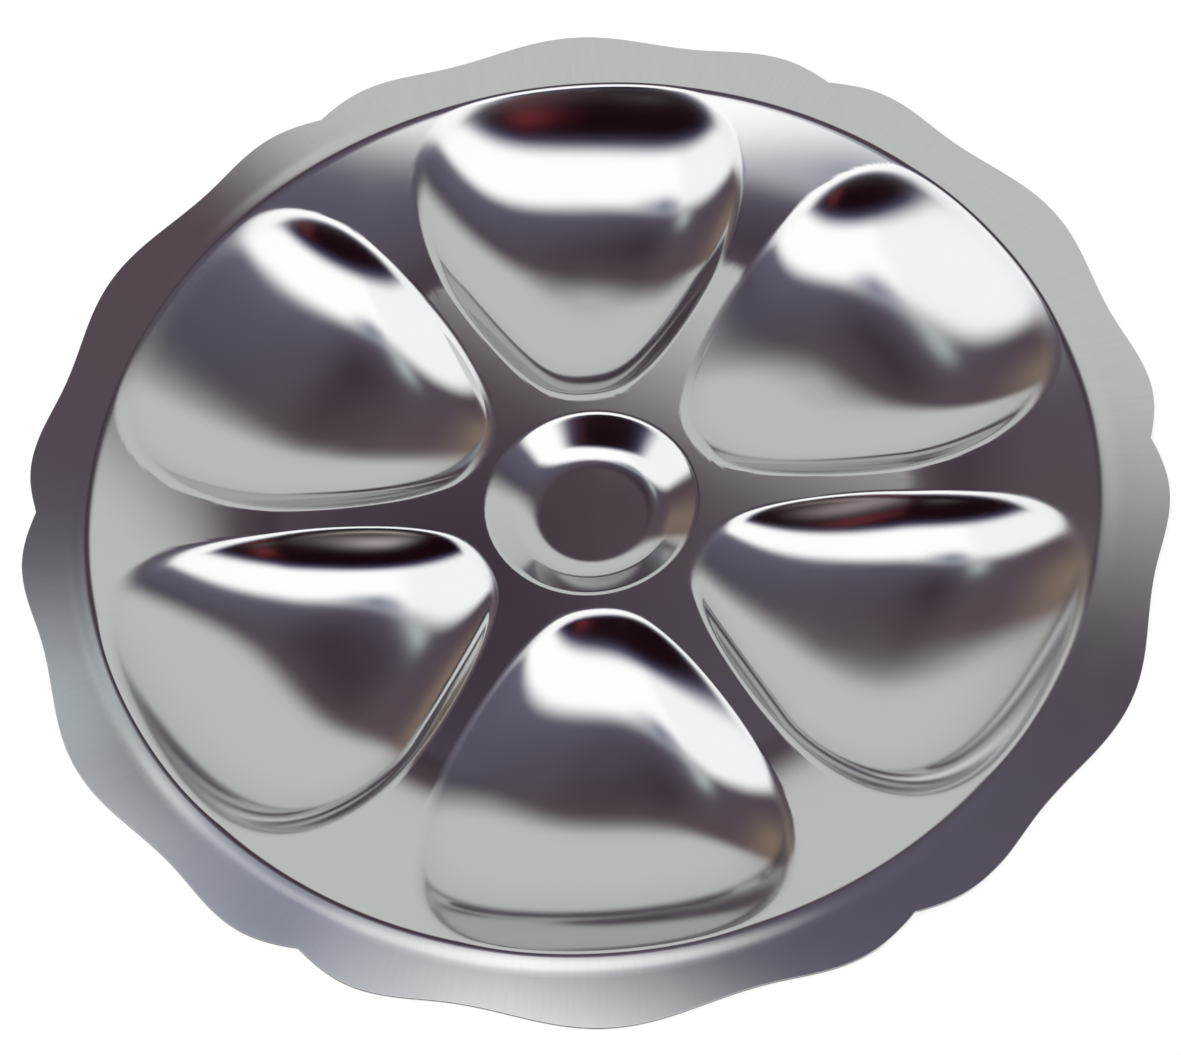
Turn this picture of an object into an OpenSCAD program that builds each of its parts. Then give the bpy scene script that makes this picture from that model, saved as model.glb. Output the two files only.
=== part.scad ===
// Oyster plate, pressed from one round sheet of stainless steel.
// Six egg-shaped wells lie round a shallower sauce well, in a flat deck whose border sweeps up
// to a raised crest. Outside the crest a nearly flat rim ends in large and small lobes.
// The plate stands on the small flat feet under its oyster wells.
// The origin is the middle of the plate on the table that it stands on, and +Z is up.

/* [Plate] */
// Diameter over the large lobes of the rim
plate_d = 250; // [230:1:300]
// Height of the rim's outer edge above the table
rim_h = 19.7; // [17:0.1:26]
// Thickness of the sheet
sheet_t = 0.8; // [0.6:0.05:1.2]
// Number of oyster wells
wells = 6; // [5:1:8]

/* [Rim] */
// Width of the rim, from the crest to the tip of a large lobe
rim_w = 15.6; // [12:0.1:24]
// Angle at which the rim falls away outwards
rim_fall = 0.8; // [0:0.1:10]
// How far a large lobe stands out past the hollows beside it
big_lobe = 3.1; // [0:0.1:5]
// How far a small lobe stands out past the hollows beside it
small_lobe = 2.2; // [0:0.1:4]
// How deep the notch between two small lobes is cut
notch = 2.8; // [0:0.1:4]
// Height of the bead that runs along the crest
bead_h = 0.1; // [0:0.05:1.5]
// Width of the bead
bead_w = 7.8; // [4:0.1:8]
// Depth of metal drawn into the round top of the crest
crest_round = 0.45; // [0.3:0.05:1.5]

/* [Deck] */
// Height of the flat deck's top face above the table
deck_h = 8.9; // [7:0.1:12]
// Diameter of the part of the deck that is flat
flat_d = 138; // [110:1:170]
// Steepness of the sweep from the flat deck up to the crest, as the power of its curve
border_power = 1.65; // [1.5:0.05:3]

/* [Oyster wells] */
// Distance of a well's lowest point from the middle of the plate
well_mid = 59; // [52:0.1:66]
// Distance of a well's inner tip from the middle of the plate
well_tip = 28; // [27.6:0.1:34]
// Distance from the crest out to where the wall of a well would meet the deck's border
well_end = -0.4; // [-2:0.1:3]
// Width of the land between two wells, beside their lowest points
land_w = 6.4; // [5:0.1:14]
// Angle at which each side of a well opens outwards
well_flare = 26.4; // [10:0.1:27]
// How round a well is across: 1 is a plain parabola, less has a flatter bottom and steeper sides
well_round = 0.35; // [0.1:0.05:1]
// Share of a well that is its flat foot
well_foot = 0.05; // [0.03:0.01:0.2]
// Depth of metal drawn into the round edge of a well
edge_round = 1; // [0.2:0.1:2]

/* [Sauce well] */
// Height of the sauce well's floor above the table
sauce_h = 3.5; // [2:0.1:6]
// Diameter of the sauce well at the deck
sauce_d = 48; // [42:0.1:48.4]
// Diameter of its flat floor
sauce_floor_d = 23.3; // [18:0.1:27]
// Radius where the floor turns up into the wall
sauce_floor_r = 11.1; // [3:0.1:12]
// Radius where the wall turns over into the deck
sauce_edge_r = 2.3; // [1.5:0.1:5]

/* [Hidden] */
steel = "#b9bcbe";

plate_r = plate_d / 2;
crest_r = plate_r - rim_w;
sector = 360 / wells;
crest_h = rim_h + rim_w * tan(rim_fall);
floor_h = sheet_t;
seam_r = sauce_d / 2 + 0.5;      // the shell's inner edge, in the ring of flat deck
seam_lap = 0.4;                  // how far the sauce well's sheet laps over that edge

// The lower of two heights, rounded where they cross within k
function lower(a, b, k) =
    let (h = max(k - abs(a - b), 0) / k)
    min(a, b) - h * h * k / 4;
function mix(a, b, f) = a + (b - a) * f;

// Rim: a cone that falls outwards, with the bead along its inner border
function bead_z(r) =
    let (u = (r - crest_r - bead_w / 10) / (bead_w / 2))
    abs(u) < 1 ? bead_h * pow(cos(90 * u), 2) : 0;
function rim_z(r) = rim_h + (plate_r - r) * tan(rim_fall) + bead_z(r);

// Deck: flat, then a border that sweeps up to the crest
function deck_z(r) =
    let (out = max(0, (r - flat_d / 2) / (crest_r - flat_d / 2)))
    deck_h + (crest_h + bead_h - deck_h) * pow(out, border_power);

// Well outline: an egg with its point towards the middle. well_size is 0 at the lowest point
// and 1 on the outline. x runs across the well and y along it, from the plate's middle.
// along runs smoothly from -1 at the tip over 0 at the lowest point to 1 below the crest.
half_land = land_w / 2;
mid_half_w = (well_mid * sin(sector / 2) - half_land) / cos(sector / 2);
tip_l = well_mid - well_tip;
end_l = crest_r + well_end - well_mid;
function along(y) =
    let (d = y - well_mid)
    (end_l + tip_l) * d / (2 * end_l * tip_l + (end_l - tip_l) * d);
function well_size(x, y) =
    let (
        half_w = mid_half_w + (y - well_mid) * tan(well_flare),
        across = pow(x / half_w, 2)
    )
    sqrt(pow(along(y), 2) + mix(across * across, across, well_round));

// Well: a bowl that climbs from its small flat foot to the deck with the square of the size
function well_z(x, y, deck) =
    let (up = max(0, (well_size(x, y) - well_foot) / (1 - well_foot)))
    floor_h + (deck - floor_h) * up * up;

// Top face of the sheet at [x, y], turned back into the sector of the nearest well
function top_z(x, y) =
    let (
        r = norm([x, y]),
        a = atan2(y, x) - 90,
        turn = a - sector * round(a / sector),
        deck = deck_z(r),
        well = well_z(-r * sin(turn), r * cos(turn), deck)
    )
    lower(lower(deck, well, edge_round), rim_z(r), crest_round);

// A point on the top face, and the one straight behind it on the underside
eps = 0.01;
function on_top(p) = [p[0], p[1], top_z(p[0], p[1])];
function below(p) =
    let (
        dx = (top_z(p[0] + eps, p[1]) - top_z(p[0] - eps, p[1])) / (2 * eps),
        dy = (top_z(p[0], p[1] + eps) - top_z(p[0], p[1] - eps)) / (2 * eps),
        n = [-dx, -dy, 1] / norm([-dx, -dy, 1])
    )
    on_top(p) - sheet_t * n;

// Edge of the rim: t is the share of the way from a notch to the tip of the large lobe
function edge_r(t) =
    let (
        small_r = plate_r - big_lobe + small_lobe,
        dip_r = plate_r - big_lobe,
        small_t = 0.22,
        dip_t = 0.55
    )
    t < small_t ? small_r - notch * (1 - sin(90 * t / small_t))
    : t < dip_t ? mix(small_r, dip_r, (1 - cos(180 * (t - small_t) / (dip_t - small_t))) / 2)
    : mix(dip_r, plate_r, (1 - cos(180 * (t - dip_t) / (1 - dip_t))) / 2);

function polar(r, a) = [r * cos(a), r * sin(a)];

// Mesh: each sector has rays from the well's lowest point out to the sector's border, which
// is an arc beside the sauce well, two straight sides and an arc inside the crest.
inner_n = 2;                     // steps along half of the inner arc
side_n = 8;                      // steps along a side
outer_n = 8;                     // steps along half of the outer arc
rays = 2 * (inner_n + side_n + outer_n);
inner_cols = 2 * inner_n * wells;
outer_cols = 2 * outer_n * wells;
ring_r = crest_r - 1.8;
well_rows = [well_foot, 0.25, 0.45, 0.65, 0.81, 0.92, 1, 1.05];
land_rows = [0.3, 0.65];
rows = len(well_rows) + len(land_rows);
rim_rows = [ring_r, crest_r - 0.7, crest_r + 0.2, crest_r + 1.2, crest_r + 2.4, crest_r + 4];
rim_n = len(rim_rows);

// Ray k, counted from the middle of the inner arc: its end on the border of sector 0
side_step = [for (i = [0:side_n]) mix(i / side_n, pow(i / side_n, 2), 0.4)];
function half_border(k) =
    k <= inner_n ? polar(seam_r, 90 - sector / 2 * k / inner_n)
    : k <= inner_n + side_n
        ? polar(mix(seam_r, ring_r, side_step[k - inner_n]), 90 - sector / 2)
    : polar(ring_r, 90 - sector / 2 * (1 - (k - inner_n - side_n) / outer_n));
function border(k) =
    k <= rays / 2 ? half_border(k)
    : let (p = half_border(rays - k)) [-p[0], p[1]];

// Share of a ray at which it crosses the level `size` of the well, by halving
function crossing(p, size, lo = 0, hi = 1, n = 16) =
    let (
        f = (lo + hi) / 2,
        q = mix([0, well_mid], p, f)
    )
    n == 0 ? f
    : well_size(q[0], q[1]) < size ? crossing(p, size, f, hi, n - 1)
    : crossing(p, size, lo, f, n - 1);

// Points along ray k: rows of equal size in the well, then the rows of the land. Where the
// ray ends close to the well's tip, the rows are drawn together to leave room for the land.
last_row = well_rows[len(well_rows) - 1];
function ray_points(k) =
    let (
        p = border(k),
        last = min(0.975, crossing(p, last_row)),
        shares = [for (s = well_rows) min(crossing(p, s), last * s / last_row)]
    )
    [
        for (f = shares) mix([0, well_mid], p, f),
        for (g = land_rows) mix([0, well_mid], p, mix(last, 1, g)),
    ];
sector_points = [for (k = [0:rays - 1]) ray_points(k)];

function spin(p, a) = [p[0] * cos(a) - p[1] * sin(a), p[0] * sin(a) + p[1] * cos(a)];
well_pts = [
    for (s = [0:wells - 1]) for (j = [0:rows - 1]) for (k = [0:rays - 1])
        spin(sector_points[k][j], s * sector)
];
inner_pts = [
    for (c = [0:inner_cols - 1]) polar(seam_r, 90 - sector / 2 + 360 * c / inner_cols)
];
side_pts = [
    for (s = [0:wells - 1]) for (i = [1:side_n - 1])
        polar(mix(seam_r, ring_r, side_step[i]), 90 - sector / 2 + s * sector)
];
rim_pts = [
    for (j = [0:rim_n]) for (c = [0:outer_cols - 1])
        let (t = abs((c % (2 * outer_n)) / outer_n - 1))
        polar(j < rim_n ? rim_rows[j] : edge_r(1 - t), 90 - sector / 2 + 360 * c / outer_cols)
];

// Where each kind of point starts in the list, and the number of a point in a sector
side_at = len(inner_pts);
rim_at = side_at + len(side_pts);
well_at = rim_at + len(rim_pts);
function side_id(s, i) =
    i == 0 ? 2 * inner_n * (s % wells)
    : i == side_n ? rim_at + 2 * outer_n * (s % wells)
    : side_at + (side_n - 1) * (s % wells) + i - 1;
function inner_id(s, i) = (2 * inner_n * s + i) % inner_cols;
function rim_id(j, c) = rim_at + j * outer_cols + c % outer_cols;
function border_id(s, k) =
    k <= inner_n ? inner_id(s, inner_n - k)
    : k <= inner_n + side_n ? side_id(s, k - inner_n)
    : k <= inner_n + side_n + 2 * outer_n ? rim_id(0, 2 * outer_n * s + k - inner_n - side_n)
    : k <= rays - inner_n ? side_id(s + 1, rays - inner_n - k)
    : inner_id(s, inner_n + rays - k);
function well_id(s, j, k) =
    j == rows ? border_id(s, k % rays) : well_at + (s * rows + j) * rays + k % rays;

// Faces of the top side. Every four-sided patch is cut in two, in mirror image on the two
// halves of a sector.
function patch(a, b, c, d, flip) = flip ? [[a, b, d], [b, c, d]] : [[a, b, c], [a, c, d]];
well_faces = [
    for (s = [0:wells - 1]) for (j = [0:rows - 1]) for (k = [0:rays - 1])
        each patch(
            well_id(s, j, k), well_id(s, j, k + 1),
            well_id(s, j + 1, k + 1), well_id(s, j + 1, k), k < rays / 2
        )
];
foot_faces = [for (s = [0:wells - 1]) [for (k = [0:rays - 1]) well_id(s, 0, rays - 1 - k)]];
rim_faces = [
    for (j = [0:rim_n - 1]) for (c = [0:outer_cols - 1])
        each patch(
            rim_id(j, c), rim_id(j, c + 1), rim_id(j + 1, c + 1), rim_id(j + 1, c),
            c % (2 * outer_n) < outer_n
        )
];
top_faces = concat(well_faces, foot_faces, rim_faces);
flat_pts = concat(inner_pts, side_pts, rim_pts, well_pts);
count = len(flat_pts);
edge_faces = [
    for (c = [0:outer_cols - 1])
        each patch(
            rim_id(rim_n, c), rim_id(rim_n, c + 1),
            count + rim_id(rim_n, c + 1), count + rim_id(rim_n, c), false
        ),
    for (c = [0:inner_cols - 1])
        each patch(c, count + c, count + (c + 1) % inner_cols, (c + 1) % inner_cols, false)
];
under_faces = [for (f = top_faces) [for (i = [len(f) - 1:-1:0]) count + f[i]]];

// The pressed sheet outside the sauce well
module pressed_sheet() {
    polyhedron(
        points = concat([for (p = flat_pts) on_top(p)], [for (p = flat_pts) below(p)]),
        faces = concat(top_faces, edge_faces, under_faces),
        convexity = 8
    );
}

// Sauce well: a flat floor, a round turn up, a straight wall and a round turn into the deck.
// The turns are limited to the radii that fill the wall, with nothing straight left of it.
// offset_d moves the profile to the underside of the sheet.
wall_span = (sauce_d - sauce_floor_d) / 2;
wall_rise = deck_h - sauce_h;
both_r = (wall_span * wall_span + wall_rise * wall_rise) / (2 * wall_rise);
turn_r = min(sauce_floor_r, both_r - sauce_edge_r);
turns = turn_r + sauce_edge_r;
wall_angle = asin(turns / norm([wall_span, turns - wall_rise]))
    - atan2(turns - wall_rise, wall_span);
function arc(c, r, from, to, n = 8) =
    [for (i = [0:n]) c + r * [cos(mix(from, to, i / n)), sin(mix(from, to, i / n))]];
function sauce_line(offset_d) = concat(
    [[0, sauce_h - offset_d]],
    arc([sauce_floor_d / 2, sauce_h + turn_r], turn_r + offset_d, -90, -90 + wall_angle),
    arc([sauce_d / 2, deck_h - sauce_edge_r], sauce_edge_r - offset_d, 90 + wall_angle, 90),
    [[seam_r + seam_lap, deck_h - offset_d]]
);
function backwards(list) = [for (i = [len(list) - 1:-1:0]) list[i]];
module sauce_well() {
    rotate_extrude($fn = 96)
        polygon(concat(sauce_line(0), backwards(sauce_line(sheet_t))));
}

module plate() {
    color(steel) union() {
        pressed_sheet();
        sauce_well();
    }
}

plate();
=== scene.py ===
# %% [markdown]
# # Oyster plate
#
# The object is a round plate for six oysters, pressed in one stroke from a sheet of stainless
# steel and polished. A flat deck sweeps up to a raised crest, a nearly flat rim runs out to a
# festooned edge, six egg-shaped wells hold the shells, and a shallower round well holds sauce.
# It is a single piece of metal, so this lesson builds a single surface, gives it one finish,
# and then spends its care on what the mirror-like metal shows: the room round it.

# %% [markdown]
# ## The frame
#
# The plate exists already as a plain solid, packed in the frame that this script loads. The
# visual plate has to fill the same box, so the box is kept here.

import bpy
import numpy as np
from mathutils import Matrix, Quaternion, Vector


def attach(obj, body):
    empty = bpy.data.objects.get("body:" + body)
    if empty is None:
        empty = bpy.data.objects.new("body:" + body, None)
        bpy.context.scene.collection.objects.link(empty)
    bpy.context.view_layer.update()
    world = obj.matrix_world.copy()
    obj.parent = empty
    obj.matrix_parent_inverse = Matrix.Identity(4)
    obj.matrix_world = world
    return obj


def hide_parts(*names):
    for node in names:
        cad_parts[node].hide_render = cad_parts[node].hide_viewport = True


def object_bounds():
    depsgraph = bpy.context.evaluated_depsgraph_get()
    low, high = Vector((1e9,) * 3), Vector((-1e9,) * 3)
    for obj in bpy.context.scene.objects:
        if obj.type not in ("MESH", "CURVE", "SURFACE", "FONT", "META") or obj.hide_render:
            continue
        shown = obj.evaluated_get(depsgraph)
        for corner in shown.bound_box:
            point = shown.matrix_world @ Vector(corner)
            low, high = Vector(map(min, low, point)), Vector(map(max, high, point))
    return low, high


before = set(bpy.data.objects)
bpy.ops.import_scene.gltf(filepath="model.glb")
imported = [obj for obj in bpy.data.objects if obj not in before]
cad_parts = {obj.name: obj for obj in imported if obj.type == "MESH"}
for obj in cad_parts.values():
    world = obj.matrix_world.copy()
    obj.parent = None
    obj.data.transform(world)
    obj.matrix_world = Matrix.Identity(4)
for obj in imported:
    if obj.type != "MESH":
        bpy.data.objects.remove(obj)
cad_low, cad_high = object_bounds()
print("solid plate, mm:", [round(1000 * s, 1) for s in cad_high - cad_low])

# %% [markdown]
# ## Sizes
#
# A pressed plate is drawn with a few sizes: its diameter, the heights of its levels, the width
# of its rim, and for each well where its lowest point, its tip and its end lie. They are in
# millimetres, with the table at height 0, the middle of the plate at the origin and one well
# along +Y, which is called north here. The diameter is read from the frame, so that the two
# always agree.

# %% Sizes of the plate
PLATE_R = 500 * (cad_high.y - cad_low.y)  # over the large lobes
SHEET = 0.8
WELLS = 6
SECTOR = 2 * np.pi / WELLS

RIM_H, RIM_W, RIM_FALL = 19.7, 15.6, np.radians(0.8)
BIG_LOBE, SMALL_LOBE, NOTCH = 3.1, 2.2, 2.8
SMALL_AT, HOLLOW_AT = 0.22, 0.55  # shares of the way from a notch to the tip of a large lobe
BEAD_H, BEAD_W, CREST_ROUND = 0.1, 7.8, 0.45

DECK_H, FLAT_R, BORDER_POWER = 8.9, 69.0, 1.65

WELL_MID, WELL_TIP, WELL_END = 59.0, 28.0, -0.4
LAND_W, WELL_FLARE = 6.4, np.radians(26.4)
WELL_ROUND, WELL_FOOT, EDGE_ROUND = 0.35, 0.05, 1.0

SAUCE_H, SAUCE_R, SAUCE_FLOOR_R, SAUCE_TURN, SAUCE_EDGE = 3.5, 24.0, 11.65, 11.1, 2.3

CREST_R = PLATE_R - RIM_W
CREST_H = RIM_H + RIM_W * np.tan(RIM_FALL)
print("plate across:", round(2 * PLATE_R, 2), "mm, crest across:", round(2 * CREST_R, 2), "mm")

# %% [markdown]
# ## The height of the pressed sheet
#
# Press tools are cut to surfaces, so the plate is written as one: the height of the top face
# over any point of the table. Each region has a height of its own, and where two regions meet,
# the lower of the two wins, with the corner rounded as the sheet rounds over the edge of a die.


# %% Rounded lower of two surfaces
def lower(a, b, k):
    """The smaller of a and b, less a parabola where they differ by under k, so that the
    corner between them becomes a round, a quarter of k below where they would meet."""
    near = np.maximum(k - np.abs(a - b), 0) / k
    return np.minimum(a, b) - near**2 * k / 4


def mix(a, b, share):
    """a at share 0, b at share 1, and a straight line between them."""
    return a + (b - a) * share


print("edge of a well lowered by", -float(lower(0.0, 0.0, EDGE_ROUND)), "mm")


# %% [markdown]
# The rim is a shallow cone that falls outwards. Along its inner border runs a low bead, the
# round ridge that catches a bright line all the way round the plate.


# %% Rim and bead
def rim_height(r):
    """Height of the cone at the outer edge, plus its rise towards the middle, plus a bead
    whose section is a squared cosine."""
    across = np.clip((r - CREST_R - BEAD_W / 10) / (BEAD_W / 2), -1, 1)
    bead = BEAD_H * np.cos(np.pi / 2 * across) ** 2
    return RIM_H + (PLATE_R - r) * np.tan(RIM_FALL) + bead


print("top of the bead:", round(float(rim_height(CREST_R + BEAD_W / 10)), 2), "mm high")


# %% [markdown]
# The deck is flat round the sauce well. Further out it sweeps up to the crest, slowly at first.


# %% Deck and its border
def deck_height(r):
    """Flat height, plus the rise to the crest times a power of the way through the border."""
    out = np.maximum(0, (r - FLAT_R) / (CREST_R - FLAT_R))
    return DECK_H + (CREST_H + BEAD_H - DECK_H) * out**BORDER_POWER


print("deck, half way out:", round(float(deck_height((FLAT_R + CREST_R) / 2)), 2), "mm high")


# %% [markdown]
# A well is a bowl with an egg-shaped outline, its point towards the middle. `along_well` runs
# from -1 at the tip over 0 at the lowest point to 1 below the crest, and the half width grows
# outwards. `well_size` is 0 at the lowest point and 1 on the outline. The height goes with its
# square, so the bowl is a parabola along its length, and across it is a little squarer, with a
# flatter bottom between steeper sides.

# %% Outline and height of a well
MID_HALF_W = (WELL_MID * np.sin(SECTOR / 2) - LAND_W / 2) / np.cos(SECTOR / 2)
TIP_L = WELL_MID - WELL_TIP
END_L = CREST_R + WELL_END - WELL_MID


def along_well(y):
    """Distance from the lowest point over a length that grows with it, from the mean of tip
    and end at that point to the tip's own length at -1 and the end's own at 1."""
    distance = y - WELL_MID
    return (END_L + TIP_L) * distance / (2 * END_L * TIP_L + (END_L - TIP_L) * distance)


def well_size(x, y):
    """Root of: way along, squared, plus way across, of which one part is squared and the rest
    goes to the fourth power."""
    half_w = MID_HALF_W + (y - WELL_MID) * np.tan(WELL_FLARE)
    across = (x / half_w) ** 2
    return np.sqrt(along_well(y) ** 2 + mix(across**2, across, WELL_ROUND))


def well_height(x, y, deck):
    """Height of the foot, plus the depth below the deck times the square of the size. A
    hyperbola takes the size's place, so that the well is nearly flat over its small foot."""
    up = (np.hypot(well_size(x, y), WELL_FOOT) - WELL_FOOT) / (np.hypot(1, WELL_FOOT) - WELL_FOOT)
    return SHEET + (deck - SHEET) * up**2


print("wells, long and wide at the foot:", round(TIP_L + END_L, 1), round(2 * MID_HALF_W, 1), "mm")


# %% [markdown]
# The sauce well is turned, not egg-shaped: a flat floor, a round turn up into a straight wall,
# and a smaller turn over into the deck. The wall's angle is the one that touches both turns.

# %% Sauce well
SPAN = SAUCE_R - SAUCE_FLOOR_R  # how far the wall and its turns reach
RISE = DECK_H - SAUCE_H
TURNS = SAUCE_TURN + SAUCE_EDGE  # both radii together
WALL = np.arcsin(TURNS / np.hypot(SPAN, TURNS - RISE)) - np.arctan2(TURNS - RISE, SPAN)


def sauce_height(r):
    """Two arcs joined by the straight line that touches both."""
    low = SAUCE_H + SAUCE_TURN - np.sqrt(np.maximum(SAUCE_TURN**2 - (r - SAUCE_FLOOR_R) ** 2, 0))
    high = DECK_H - SAUCE_EDGE + np.sqrt(np.maximum(SAUCE_EDGE**2 - (SAUCE_R - r) ** 2, 0))
    low_end = SAUCE_FLOOR_R + SAUCE_TURN * np.sin(WALL)
    high_end = SAUCE_R - SAUCE_EDGE * np.sin(WALL)
    wall = SAUCE_H + SAUCE_TURN * (1 - np.cos(WALL)) + (r - low_end) * np.tan(WALL)
    turned = np.where(r < low_end, low, np.where(r < high_end, wall, high))
    return np.where(r < SAUCE_FLOOR_R, SAUCE_H, turned)


print("wall of the sauce well leans", round(float(np.degrees(WALL)), 1), "degrees from level")


# %% [markdown]
# One function now gives the top face anywhere. It turns each point back to the north well, so
# the six wells are the same to the last digit. A second one gives the direction that the face
# looks in, which for a mirror matters more than its height.


# %% Top face of the sheet
def at_north_well(x, y):
    """The point, turned round the middle by whole sectors until its nearest well is north."""
    r = np.hypot(x, y)
    a = np.arctan2(y, x) - np.pi / 2
    turn = a - SECTOR * np.round(a / SECTOR)
    return -r * np.sin(turn), r * np.cos(turn)


def top_height(x, y, crest_round=CREST_ROUND):
    """The lowest of deck, well and rim, each corner rounded, or the sauce well inside it."""
    r = np.hypot(x, y)
    deck = deck_height(r)
    well = well_height(*at_north_well(x, y), deck)
    shell = lower(lower(deck, well, EDGE_ROUND), rim_height(r), crest_round)
    return np.where(r < SAUCE_R, sauce_height(r), shell)


def face_normal(x, y, crest_round=CREST_ROUND, step=0.02):
    """Upward unit normal, from the rise over a small step both ways along x and along y."""
    rise_x = top_height(x + step, y, crest_round) - top_height(x - step, y, crest_round)
    rise_y = top_height(x, y + step, crest_round) - top_height(x, y - step, crest_round)
    n = np.stack([-rise_x, -rise_y, np.full_like(rise_x, 2 * step)], axis=-1)
    return n / np.linalg.norm(n, axis=-1, keepdims=True)


print("crest:", round(float(top_height(0.0, CREST_R)), 2), "mm high")


# %% [markdown]
# ## The festooned edge
#
# The rim was trimmed after pressing. Seen from above, each sixth of the edge runs from a sharp
# notch over a small lobe, through a shallow hollow, to the tip of a large lobe, and back.


# %% Edge of the rim
def edge_radius(turn):
    """Radius of the edge at an angle from the nearest notch: a quarter sine out of the notch,
    then two half cosines, down into the hollow and up to the large lobe."""
    t = np.abs(turn) / (SECTOR / 2)
    hollow_r = PLATE_R - BIG_LOBE
    out = hollow_r + SMALL_LOBE - NOTCH * (1 - np.sin(np.pi / 2 * np.clip(t / SMALL_AT, 0, 1)))
    down = (1 - np.cos(np.pi * np.clip((t - SMALL_AT) / (HOLLOW_AT - SMALL_AT), 0, 1))) / 2
    up = (1 - np.cos(np.pi * np.clip((t - HOLLOW_AT) / (1 - HOLLOW_AT), 0, 1))) / 2
    return out - SMALL_LOBE * down + BIG_LOBE * up


print("radius of a notch:", round(float(edge_radius(0.0)), 1), "mm")


# %% [markdown]
# ## The grid on the sheet
#
# A mirror shows every kink of a mesh, so the lines of the grid follow the forms. Each sector has
# rays from the well's lowest point to the sector's border, crossed by rows of equal well size
# that crowd at the edge of the well. Rings follow the crest and the rim, and smaller rings fill
# the sauce well. A plain polar grid would be shorter to write, but it would cut across the
# edges of the wells and show them as saw teeth.

# %% Ends of the rays
INNER, SIDE, OUTER = 5, 30, 48  # steps along half of the inner arc, a side, half of the outer arc
SEAM_R = SAUCE_R + 0.5  # inner arc, just outside the sauce well
RING_R = CREST_R - 1.8  # outer arc, just inside the crest


def polar(r, a):
    """Points at radius r and angle a."""
    return np.stack([r * np.cos(a), r * np.sin(a)], axis=-1)


def border_points():
    """Ends of the rays round the border of the north sector, from the middle of its inner arc
    over the right side and the outer arc to the left side. The steps along the side grow
    outwards, and the left half mirrors the right."""
    north = np.pi / 2
    inner = polar(SEAM_R, north - SECTOR / 2 * np.arange(INNER) / INNER)
    way = np.arange(SIDE) / SIDE
    side = polar(mix(SEAM_R, RING_R, 0.6 * way + 0.4 * way**2), north - SECTOR / 2)
    outer = polar(RING_R, north - SECTOR / 2 * (1 - np.arange(OUTER + 1) / OUTER))
    right = np.concatenate([inner, side, outer])
    return np.concatenate([right, (right * [-1, 1])[-2:0:-1]])


ends = border_points()
print("rays in each sector:", len(ends))

# %% [markdown]
# Where a ray crosses a row has no formula, so it is searched for: the middle of the ray is either
# inside the row or outside it, which leaves half of the ray, and thirty halvings leave far less
# than a micron. All crossings are searched for at once, as one array.

# %% Rows of a well
LEVELS = np.concatenate([np.linspace(0.02, 0.9, 15), np.linspace(0.92, 1, 7)])  # sizes of the rows
LAND = (np.arange(1, 10) / 9) ** 1.8  # shares of the rows between the outline and the border
LAST_SHARE = 0.965  # most of a ray that the well may take, where its tip nears the inner arc


def shares_at(ends, levels):
    """Share of each ray at which the well has each size, found by halving."""
    low = np.zeros((len(levels), len(ends)))
    high = np.ones_like(low)
    for _ in range(30):
        half = (low + high) / 2
        inside = well_size(half * ends[:, 0], mix(WELL_MID, ends[:, 1], half)) < levels[:, None]
        low, high = np.where(inside, half, low), np.where(inside, high, half)
    return low


in_well = np.minimum(shares_at(ends, LEVELS), LAST_SHARE * LEVELS[:, None])
on_land = mix(in_well[-1], 1, LAND[:, None])
shares = np.concatenate([in_well, on_land])
print("rows in each sector:", len(shares))

# %% [markdown]
# Every patch is a grid of points in the plane, made of closed rings round one middle. A helper
# joins neighbours into four-sided faces. The flat feet of the wells and the flat floor of the
# sauce well are one face each, which a polygon with many corners may be where nothing bends.

# %% Patches in the plane
points = []  # one array of points for each patch
faces = []  # lists of point numbers


def ring_faces(ids):
    """Four-sided faces between neighbours in rows of point numbers, each row a closed ring.
    They look up where the rings run anticlockwise and follow each other outwards."""
    after = np.roll(ids, -1, axis=1)
    return np.stack([ids[:-1], ids[1:], after[1:], after[:-1]], axis=-1).reshape(-1, 4).tolist()


def add_grid(grid):
    """Keep the points and faces of one patch, and give the numbers of its points."""
    start = sum(len(p) for p in points)
    ids = start + np.arange(grid.shape[0] * grid.shape[1]).reshape(grid.shape[:2])
    points.append(grid.reshape(-1, 2))
    faces.extend(ring_faces(ids))
    return ids


lowest = np.array([0.0, WELL_MID])
north_well = mix(lowest, ends, shares[..., None])
for k in range(WELLS):
    c, s = np.cos(k * SECTOR), np.sin(k * SECTOR)
    ids = add_grid(north_well @ np.array([[c, s], [-s, c]]))
    faces.append(ids[0].tolist())

sauce_a = np.pi / 2 + np.arange(WELLS * 2 * INNER) * SECTOR / (2 * INNER)
sauce_rings = np.concatenate([[4.0], np.linspace(SAUCE_FLOOR_R, SAUCE_R, 22), [SEAM_R]])
ids = add_grid(polar(sauce_rings[:, None], sauce_a))
faces.append(ids[0].tolist())
print("patches:", len(points), "faces:", len(faces))

# %% [markdown]
# The rim's rings are round at the crest, where they stand close together, and take on the shape
# of the festooned edge on their way out.

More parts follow.
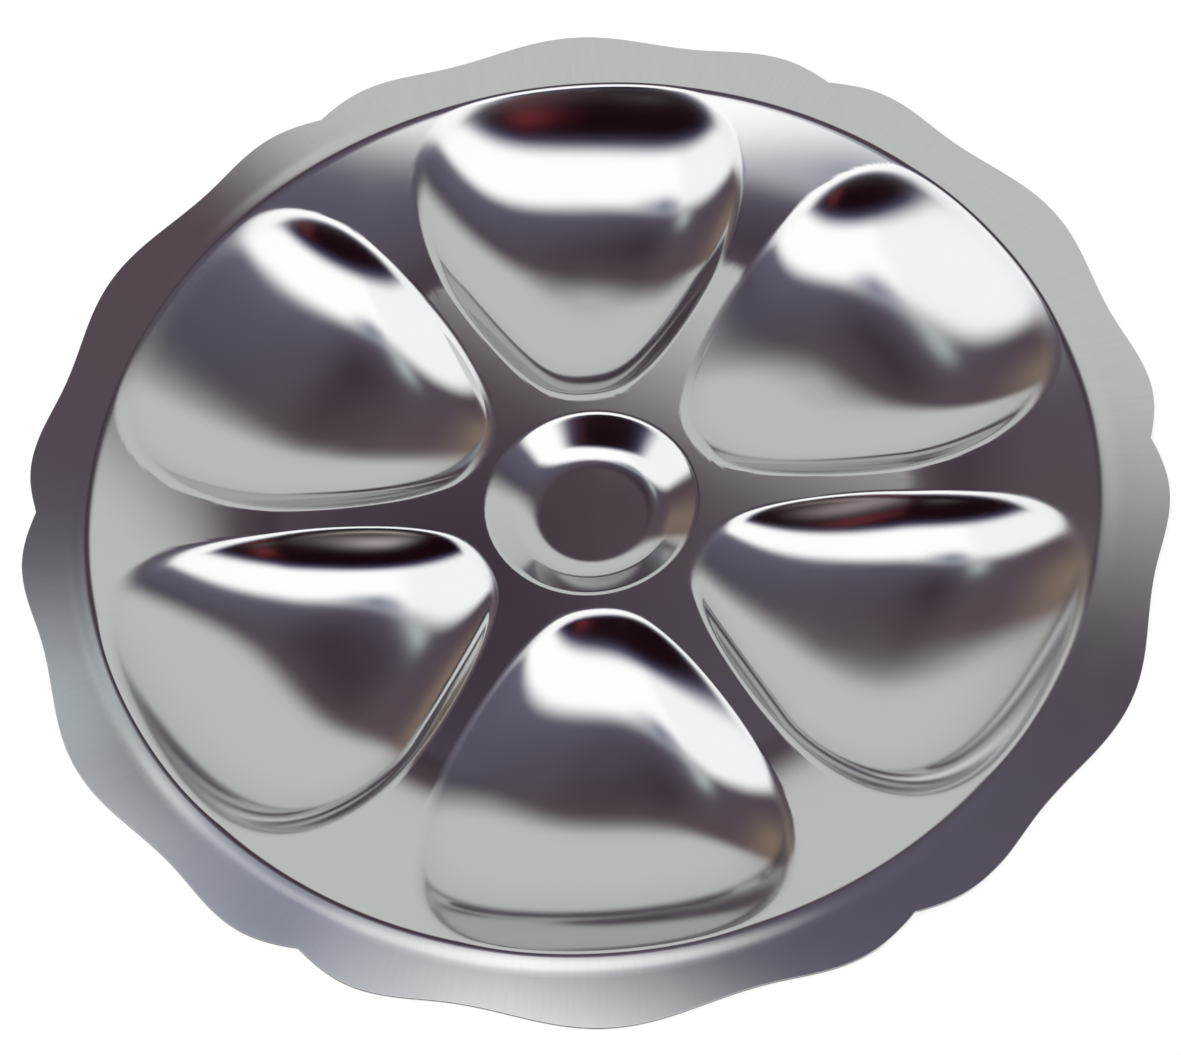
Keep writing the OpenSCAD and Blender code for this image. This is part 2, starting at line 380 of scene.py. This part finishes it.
# %% Patch of the rim
EDGE_TURN = 0.2  # how far the rounded cut edge stands out past the top face
rim_turn = np.arange(WELLS * 2 * OUTER) * SECTOR / (2 * OUTER)  # from the notch at 60 degrees
crest_rings = RING_R + np.array([0, 0.5, 1, 1.4, 1.8, 2.2, 2.6, 3.1, 3.7, 4.4, 5.2, 6.2])
rim_end = edge_radius((rim_turn + SECTOR / 2) % SECTOR - SECTOR / 2) - EDGE_TURN
way_out = np.linspace(0, 1, 10)[1:, None]
rim_r = np.concatenate([
    np.broadcast_to(crest_rings[:, None], (len(crest_rings), len(rim_turn))),
    mix(crest_rings[-1], rim_end, way_out),
])
rim_ids = add_grid(polar(rim_r, np.pi / 2 - SECTOR / 2 + rim_turn))
print("rings of the rim:", len(rim_r), "with", len(rim_turn), "points each")

# %% [markdown]
# The patches meet in doubled points. Rounded to a tenth of a micron, doubles are equal, so one
# call finds them and gives every face its new numbers. Merging them closes the seams.

# %% Merge the seams
flat = np.concatenate(points)
_, first, number = np.unique(np.round(flat, 4), axis=0, return_index=True, return_inverse=True)
number = number.ravel()
flat = flat[first]
top_faces = [number[f].tolist() for f in faces]
edge_ids = number[rim_ids[-1]]
print("points:", len(number), "before,", len(flat), "after")

# %% [markdown]
# ## Top, underside and cut edge
#
# The sheet has the same thickness everywhere, so the underside is the top face moved along its
# own normal. Where the sheet bends over the crest, that would fold the underside over itself, so
# it is moved from a copy of the form whose crest is rounder. A Solidify modifier would do the
# same, but its normals come from the faces, and these come from the formula itself.

# %% Top face and underside
x, y = flat[:, 0], flat[:, 1]
top_normal = face_normal(x, y)
top_points = np.column_stack([flat, top_height(x, y)])

UNDER_ROUND = 1.2
under_normal = -face_normal(x, y, UNDER_ROUND)
under_points = np.column_stack([flat, top_height(x, y, UNDER_ROUND)]) + SHEET * under_normal
print("lowest point of the top face:", round(float(top_points[:, 2].min()), 3), "mm")

# %% [markdown]
# The cut edge is half a round from one face to the other, because a cut edge is broken so that
# it cuts no hand. Its four rows of points swing round the middle of the sheet's thickness.

# %% Cut edge
rim_line = top_points[edge_ids]
tangent = np.roll(rim_line, -1, axis=0) - np.roll(rim_line, 1, axis=0)
outward = np.cross(tangent, top_normal[edge_ids])
outward /= np.linalg.norm(outward, axis=1, keepdims=True)
swing = np.linspace(0, np.pi, 6)[1:-1, None, None]
upward = np.cos(swing) * top_normal[edge_ids]
edge_normal = upward + np.sin(swing) * outward
middle = rim_line - SHEET / 2 * top_normal[edge_ids]
edge_points = middle + SHEET / 2 * upward + EDGE_TURN * np.sin(swing) * outward
print("rows of the cut edge:", len(edge_points), "with", len(edge_ids), "points each")

# %% [markdown]
# The underside has the faces of the top, read backwards so that they look down. The cut edge
# runs from the last ring of the top over its own rows to the last ring of the underside.

# %% The whole sheet
count = len(flat)
under_faces = [[count + i for i in reversed(f)] for f in top_faces]
edge_rows = 2 * count + np.arange(edge_points[..., 0].size).reshape(-1, len(edge_ids))
edge_faces = ring_faces(np.concatenate([edge_ids[None], edge_rows, count + edge_ids[None]]))

all_points = np.concatenate([top_points, under_points, edge_points.reshape(-1, 3)])
all_normals = np.concatenate([top_normal, under_normal, edge_normal.reshape(-1, 3)])
print("points:", len(all_points), "lowest:", round(float(all_points[:, 2].min()), 3), "mm")

# %% [markdown]
# The buffing wheel is stiff and doesn't reach into a tight bend, so the steel is hazier along the
# edges of the wells. How close a point is to such an edge is kept as an attribute of the mesh.


# %% Bends that the wheel doesn't reach
BEND_AT, BEND_W = 0.99, 0.035  # well size in the middle of the bend, and how wide the haze is


def in_bend(x, y):
    """1 on the outline of a well, falling as a bell curve to both sides, and 0 past the crest."""
    size = np.minimum(well_size(*at_north_well(x, y)), 2)
    return np.exp(-(((size - BEND_AT) / BEND_W) ** 2)) * (np.hypot(x, y) < CREST_R - 0.5)


bend_share = np.concatenate([in_bend(x, y), in_bend(x, y), np.zeros(edge_points[..., 0].size)])
print("points in bends:", int((bend_share > 0.5).sum()))

# %% [markdown]
# The mesh gets the normals of the formula, one for each point. Without them, Blender would mix
# the normals of the faces round a point, and the mirror would show the grid.


# %% The plate
def add_object(name, points_mm, faces):
    """A mesh object in the scene, from points in millimetres and the faces between them."""
    mesh = bpy.data.meshes.new(name)
    mesh.from_pydata((np.asarray(points_mm) / 1000).tolist(), [], faces)
    made = bpy.data.objects.new(name, mesh)
    bpy.context.scene.collection.objects.link(made)
    return made


plate = add_object("oyster_plate", all_points, top_faces + under_faces + edge_faces)
mesh = plate.data
mesh.shade_smooth()
mesh.normals_split_custom_set_from_vertices(all_normals.tolist())
mesh.validate()
mesh.attributes.new("bend", "FLOAT", "POINT").data.foreach_set("value", bend_share)
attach(plate, "root")
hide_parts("plate")
triangles = sum(len(p.vertices) - 2 for p in mesh.polygons)
print("triangles:", triangles)

# %% [markdown]
# ## Colours and nodes
#
# Colours are written as they look on a screen, in sRGB. Blender reckons with light, so one
# function turns them to linear values. One more adds a node with its settings and links, so that
# each node of a material is a single call, and the calls read in the order of the links.


# %% Helpers for materials
def linear(code):
    """sRGB hex to linear: a straight foot below 0.04045, a power of 2.4 above it."""
    v = np.array([int(code[i : i + 2], 16) for i in (1, 3, 5)]) / 255
    return np.where(v <= 0.04045, v / 12.92, ((v + 0.055) / 1.055) ** 2.4)


def add_node(tree, kind, links=None, settings=None, **values):
    """A node of a kind: settings are its own properties, values go into its sockets by name
    (with _ for a space), and links join its sockets, by name or by number where several have
    the same name, to outputs of other nodes."""
    node = tree.nodes.new(kind)
    for name, value in (settings or {}).items():
        setattr(node, name, value)
    for name, value in values.items():
        node.inputs[name.replace("_", " ")].default_value = value
    for name, output in (links or {}).items():
        tree.links.new(output, node.inputs[name])
    return node


def new_material(name):
    """An empty material and its tree of nodes."""
    material = bpy.data.materials.new(name)
    material.use_nodes = True
    material.node_tree.nodes.clear()
    return material, material.node_tree


print("mid grey of a screen, as light:", round(float(linear("#808080")[0]), 3))


# %% [markdown]
# ## Polished stainless steel
#
# The sheet is chromium-nickel steel, cold rolled, pressed and buffed to a mirror. It has no
# colour of its own beyond a neutral grey, so metallic is 1 and the roughness is low. What makes
# it metal, and not chrome plate, is how imperfect the mirror is. Drawing stretches the grain of
# the steel, which leaves a gentle ripple of about 10 mm that the buffing wheel rounds but never
# removes. The buffed face is a little hazy in clouds a few centimetres wide, and hazier still in
# the bends, where the wheel's cloth bridges the corner.

# %% Haze of the steel
MM = 1000  # texture scales are per metre, so MM / 10 repeats every 10 mm
HAZE, RIPPLE = 35, 11  # sizes of the clouds and of the ripple, in mm
steel, tree = new_material("polished stainless steel")
coords = add_node(tree, "ShaderNodeTexCoord").outputs["Object"]
haze = add_node(
    tree, "ShaderNodeTexNoise", {"Vector": coords}, Scale=MM / HAZE, Detail=3.0, Roughness=0.55
)
polished = add_node(
    tree, "ShaderNodeMapRange", {"Value": haze.outputs["Fac"]},
    From_Min=0.35, From_Max=0.7, To_Min=0.07, To_Max=0.12,
)
bend = add_node(tree, "ShaderNodeAttribute", settings={"attribute_name": "bend"})
roughness = add_node(
    tree, "ShaderNodeMapRange",
    {"Value": bend.outputs["Fac"], "To Min": polished.outputs["Result"]},
    To_Max=0.19,
)
print("roughness: 0.07 to 0.12 in clouds of", HAZE, "mm, up to 0.19 in the bends")

# %% [markdown]
# The rim was brushed outwards before it was buffed, and faint streaks are left. Their texture
# is mapped in polar coordinates, fine along the angle and long along the radius, so each streak
# runs from the crest to the edge. Inside the crest the buffing has left only a quarter of them.
# On the rim they are about 1 mm wide and 11 mm long, drawn coarser than the marks of real grit,
# which are too fine to show.

# %% Brushed rim
STREAKS = 0.015  # how much lighter or darker a streak is, as a share
place = add_node(tree, "ShaderNodeSeparateXYZ", {"Vector": coords}).outputs
angle = add_node(
    tree, "ShaderNodeMath", {0: place["Y"], 1: place["X"]}, {"operation": "ARCTAN2"}
)
radius = add_node(tree, "ShaderNodeVectorMath", {"Vector": coords}, {"operation": "LENGTH"})
spread = add_node(
    tree, "ShaderNodeCombineXYZ", {"X": angle.outputs["Value"], "Y": radius.outputs["Value"]}
)
streaks = add_node(
    tree, "ShaderNodeTexNoise", {"Vector": spread.outputs["Vector"]}, {"noise_dimensions": "2D"},
    Scale=90.0, Detail=4.0, Roughness=0.7,
)
shade = add_node(
    tree, "ShaderNodeMapRange", {"Value": streaks.outputs["Fac"]},
    From_Min=0.3, From_Max=0.7, To_Min=1 - STREAKS, To_Max=1 + STREAKS,
)
on_rim = add_node(
    tree, "ShaderNodeMapRange", {"Value": radius.outputs["Value"]},
    From_Min=CREST_R / MM, From_Max=(CREST_R + 3) / MM, To_Min=0.25, To_Max=1.0,
)
brightness = add_node(
    tree, "ShaderNodeMix", {"Factor": on_rim.outputs["Result"], "B": shade.outputs["Result"]},
    A=1.0,
)
colour = add_node(
    tree, "ShaderNodeVectorMath", {"Scale": brightness.outputs["Result"]}, {"operation": "SCALE"},
    Vector=linear("#d3d3d3"),
)
print("streaks: up to", 100 * STREAKS, "percent lighter or darker")

# %% [markdown]
# The ripple is a bump of a few microns. More would bend the edges of the reflections visibly,
# and none would leave them too clean for pressed steel. It goes into the shader with the rest.

# %% Ripple and shader
ripple = add_node(tree, "ShaderNodeTexNoise", {"Vector": coords}, Scale=MM / RIPPLE, Detail=1.0)
bump = add_node(
    tree, "ShaderNodeBump", {"Height": ripple.outputs["Fac"]}, Strength=1.0, Distance=0.0025 / MM
)
shader = add_node(
    tree, "ShaderNodeBsdfPrincipled",
    {
        "Base Color": colour.outputs["Vector"],
        "Roughness": roughness.outputs["Result"],
        "Normal": bump.outputs["Normal"],
    },
    Metallic=1.0,
)
add_node(tree, "ShaderNodeOutputMaterial", {"Surface": shader.outputs["BSDF"]})
mesh.materials.append(steel)
print("material:", steel.name)

# %% [markdown]
# ## The room in the mirror
#
# A polished bowl has no look of its own: it shows the studio. The one round this plate was a
# usual one for a small product on a table: a grey backdrop behind, a long white softbox over
# it, a dark gap between the two, and the unlit room on the camera's side. Here they are painted
# on one half dome, close round the plate, as bands with blurred edges and a few soft spots for
# whatever else stood there. The dome is only mirrored: it hides itself from the camera and from
# the matt floor, and the plate shows its parts at the light that they give.
#
# The half dome is mapped by the angle from the zenith, to the right and away from the camera, in
# degrees. An edge between two bands is a parabola over the way to the right. Its four numbers
# are its place in the middle, its slope, its bend and the width over which it blurs.

# %% Bands and spots of the room
BACKDROP_EDGE = (36.5, -0.5, 0.0028, 9)
SOFTBOX_TOP = (7.9, -0.44, -0.0029, 10)
SOFTBOX_FOOT = (-21.6, -0.37, -0.0035, 10)

# Changes inside a band, each with the angle of its middle and its width.
SPILL = (-4.9, 10.4)  # past the softbox's foot, where the unlit room catches some light
DIM_END = (-26, 8)  # to the right: left of it the softbox is a little dimmer
GAP_LENGTH = (-5, 110)  # to the right: over it the gap changes from warm to cool
LOW_BACKDROP = (81, 44)  # from the zenith: over it the backdrop darkens
HORIZON = (87, 5)  # from the zenith: past it the room is dark brown
FAR_SIDE = (15, 30)  # away from the camera: over it the horizon comes in

# A spot: its way right and away, its radius, its strength in the middle and its colour.
SPOTS = [
    (5, -38, 5, 1.0, "#762f36"),  # something red, low on the camera's side
    (-22, -53, 8, 1.0, "#c4bab8"),  # two pale things under it
    (8, -57, 9, 1.0, "#ab9c9c"),
    (-58, 58, 16, 0.7, "#a5917f"),  # warm wood at the left end of the gap
    (-21, 14, 3.5, 0.6, "#8f98ab"),  # blue-grey things before the softbox's top edge
    (-17, 12.5, 4.5, 0.9, "#858ea2"),
    (-12, 10.5, 3.5, 0.4, "#8f98ab"),
    (-26, 22, 4.5, 0.7, "#e2eef0"),  # light that spills past its left end
    (-9, 27.5, 8.5, 0.75, "#3c2f3b"),  # the darkest part of the gap
]
print("spots in the room:", len(SPOTS))


# %% [markdown]
# The light in any direction is built up as a painter would: the unlit room first, then each band
# over the last one with a smooth edge, then the spots, and the horizon at the end.


# %% Light of the room
def ramp(value, middle, width):
    """0 to 1 over a width round a middle, as a smooth step: 3 t squared less 2 t cubed."""
    t = np.clip((value - middle) / width + 0.5, 0, 1)[..., None]
    return t * t * (3 - 2 * t)


def past(edge, right, away):
    """Degrees past an edge, away from the camera."""
    return away - (edge[0] + edge[1] * right + edge[2] * right**2)


def room_light(way):
    """Light of the room in each direction: unlit room, softbox with the spill at its foot, gap,
    backdrop, spots and horizon, each mixed over the ones before it."""
    down = np.degrees(np.arccos(np.clip(way[:, 2], -1, 1)))
    turn = np.arctan2(way[:, 1], way[:, 0])
    right, away = down * np.cos(turn), down * np.sin(turn)
    past_foot = past(SOFTBOX_FOOT, right, away)
    past_top = past(SOFTBOX_TOP, right, away)
    past_gap = past(BACKDROP_EDGE, right, away)

    light = linear("#1b0911") * np.ones((len(way), 1))
    light = mix(light, linear("#555175"), ramp(past_foot, *SPILL))
    left_end, right_end = 1.38 * linear("#fdfeff"), 1.53 * linear("#fffefe")
    softbox = mix(left_end, right_end, ramp(right, *DIM_END))
    light = mix(light, softbox, ramp(past_foot, 0, SOFTBOX_FOOT[3]))

    along = np.clip((right - GAP_LENGTH[0]) / GAP_LENGTH[1] + 0.5, 0, 1)[:, None]
    by_softbox = mix(linear("#5a4e5b"), linear("#767589"), along)
    by_backdrop = mix(linear("#6a585c"), linear("#554c56"), along)
    across = np.clip(past_top / np.maximum(past_top - past_gap, 1), 0, 1)[:, None]
    gap = mix(by_softbox, by_backdrop, across)
    light = mix(light, gap, ramp(past_top, 0, SOFTBOX_TOP[3]))

    backdrop = mix(linear("#dfe1e0"), linear("#ccd0d1"), ramp(down, *LOW_BACKDROP))
    blur = np.maximum(BACKDROP_EDGE[3] + 0.25 * right, 8)  # wider on the right, where it is near
    light = mix(light, backdrop, ramp(past_gap, 0, blur))

    for spot_right, spot_away, radius, strength, colour in SPOTS:
        off = ((right - spot_right) ** 2 + (away - spot_away) ** 2) / radius**2
        light = mix(light, linear(colour), strength * np.exp(-off)[:, None])
    return mix(light, linear("#3a2826"), ramp(down, *HORIZON) * ramp(away, *FAR_SIDE))


overhead = room_light(np.array([[0.0, 0.0, 1.0]]))[0]
print("light from straight above:", [round(float(v), 2) for v in overhead])

# %% [markdown]
# The dome is a grid over the angle from the zenith and the turn, fine enough for the narrowest
# edge. Each of its points keeps the light of its direction as an attribute, which its material
# gives off. A world texture would be mirrored as if it were endlessly far away, and the flat deck
# would show one even tone. With the room at a real distance, it fades from side to side.

# %% Dome
DOME_R = 735
zenith_a = np.radians(np.linspace(1, 92, 92))[:, None]
round_a = np.radians(np.arange(0, 360, 1.5))[None, :]
dome_way = np.stack([
    np.sin(zenith_a) * np.cos(round_a), np.sin(zenith_a) * np.sin(round_a),
    np.cos(zenith_a) * np.ones_like(round_a),
], axis=-1).reshape(-1, 3)
ids = np.arange(len(dome_way)).reshape(zenith_a.size, round_a.size)
dome_faces = ring_faces(ids[::-1]) + [ids[0][::-1].tolist()]  # they look inwards
dome = add_object("mirrored_room", DOME_R * dome_way + [0, 0, RIM_H], dome_faces)
light = dome.data.attributes.new("light", "FLOAT_VECTOR", "POINT")
light.data.foreach_set("vector", room_light(dome_way).ravel())
dome.visible_camera = dome.visible_diffuse = dome.visible_shadow = False

room_paint, tree = new_material("light of the room")
painted = add_node(tree, "ShaderNodeAttribute", settings={"attribute_name": "light"})
glow = add_node(tree, "ShaderNodeEmission", {"Color": painted.outputs["Vector"]})
add_node(tree, "ShaderNodeOutputMaterial", {"Surface": glow.outputs["Emission"]})
room_paint.cycles.emission_sampling = "NONE"
dome.data.materials.append(room_paint)
print("dome:", len(dome_faces), "faces")

# %% [markdown]
# ## Floor, lamp and world
#
# The plate lies on a white sheet under a wide, high lamp. The lamp and the pale world together
# light a matt surface to about its own colour, so the sheet comes out white and keeps the soft
# shadow under the rim. It is uncoated paper, which has no gloss at all.

# %% Floor
corners = 3000 * np.array([[-1, -1, 0], [1, -1, 0], [1, 1, 0], [-1, 1, 0]])
floor = add_object("white_sheet", corners, [(0, 1, 2, 3)])
paper, tree = new_material("matt white paper")
shader = add_node(
    tree, "ShaderNodeBsdfPrincipled", Base_Color=(*linear("#ffffff"), 1), Roughness=0.9,
    Specular_IOR_Level=0.0,
)
add_node(tree, "ShaderNodeOutputMaterial", {"Surface": shader.outputs["BSDF"]})
floor.data.materials.append(paper)
print("floor:", [round(1000 * v) for v in floor.dimensions], "mm")

# %% [markdown]
# A matt surface shows its own colour when the light on it adds up to 1. Most of it comes from the
# lamp, whose share is divided by the cosine of its lean, because it meets the floor at a slant.
# The level is a little over 1, for the light that the plate takes from the paper round it. The
# lamp isn't mirrored, because the dome already shows what is.

# %% Lamp
LEVEL, FROM_LAMP, LEAN = 1.03, 0.85, np.radians(28)
lamp_data = bpy.data.lights.new("high_lamp", "SUN")
lamp_data.energy = np.pi * LEVEL * FROM_LAMP / np.cos(LEAN)
lamp_data.angle = np.radians(30)
lamp = bpy.data.objects.new("high_lamp", lamp_data)
lamp.rotation_euler = (LEAN, 0, 0)
lamp.visible_glossy = False
bpy.context.scene.collection.objects.link(lamp)
print("lamp:", round(lamp_data.energy, 2), "W/m2")

# %% [markdown]
# Rays that see the world directly or in a mirror find white, and the floor gets the rest of its
# light. The Light Path node tells the two apart, and the larger of its outputs decides.

# %% World
world = bpy.data.worlds.new("pale_world")
bpy.context.scene.world = world
world.use_nodes = True
tree = world.node_tree
tree.nodes.clear()
path = add_node(tree, "ShaderNodeLightPath")
seen = path.outputs["Is Camera Ray"]
for kind in ("Is Glossy Ray", "Is Transmission Ray"):
    either = add_node(
        tree, "ShaderNodeMath", {0: seen, 1: path.outputs[kind]}, {"operation": "MAXIMUM"}
    )
    seen = either.outputs["Value"]
strength = add_node(
    tree, "ShaderNodeMapRange", {"Value": seen}, To_Min=LEVEL * (1 - FROM_LAMP), To_Max=1.0
)
sky = add_node(
    tree, "ShaderNodeBackground", {"Strength": strength.outputs["Result"]}, Color=(1, 1, 1, 1)
)
add_node(tree, "ShaderNodeOutputWorld", {"Surface": sky.outputs["Background"]})
print("light from the world:", round(LEVEL * (1 - FROM_LAMP), 3))

# %% [markdown]
# ## Camera
#
# The camera looks down at about 59 degrees from a little over half a metre, slightly from the
# right, and is rolled, as a hand-held one is. These values were found from the plate's own
# six-fold outline.

# %% Camera
camera_data = bpy.data.cameras.new("camera")
camera_data.lens, camera_data.sensor_width = 77.25, 36
camera = bpy.data.objects.new("camera", camera_data)
elevation, azimuth, roll = np.radians(59.047), np.radians(5.2245), np.radians(8.2632)
back = Vector((
    np.sin(azimuth) * np.cos(elevation), -np.cos(azimuth) * np.cos(elevation), np.sin(elevation)
))
camera.location = (0.025606, -0.291159, 0.485036)  # in metres
camera.rotation_mode = "QUATERNION"
camera.rotation_quaternion = (-back).to_track_quat("-Z", "Y") @ Quaternion((0, 0, 1), -roll)
camera_data.clip_start, camera_data.clip_end = 0.01, 20
bpy.context.scene.collection.objects.link(camera)
bpy.context.scene.camera = camera
bpy.context.scene.view_settings.view_transform = "Standard"
print("camera at", [round(v, 3) for v in camera.location], "m")
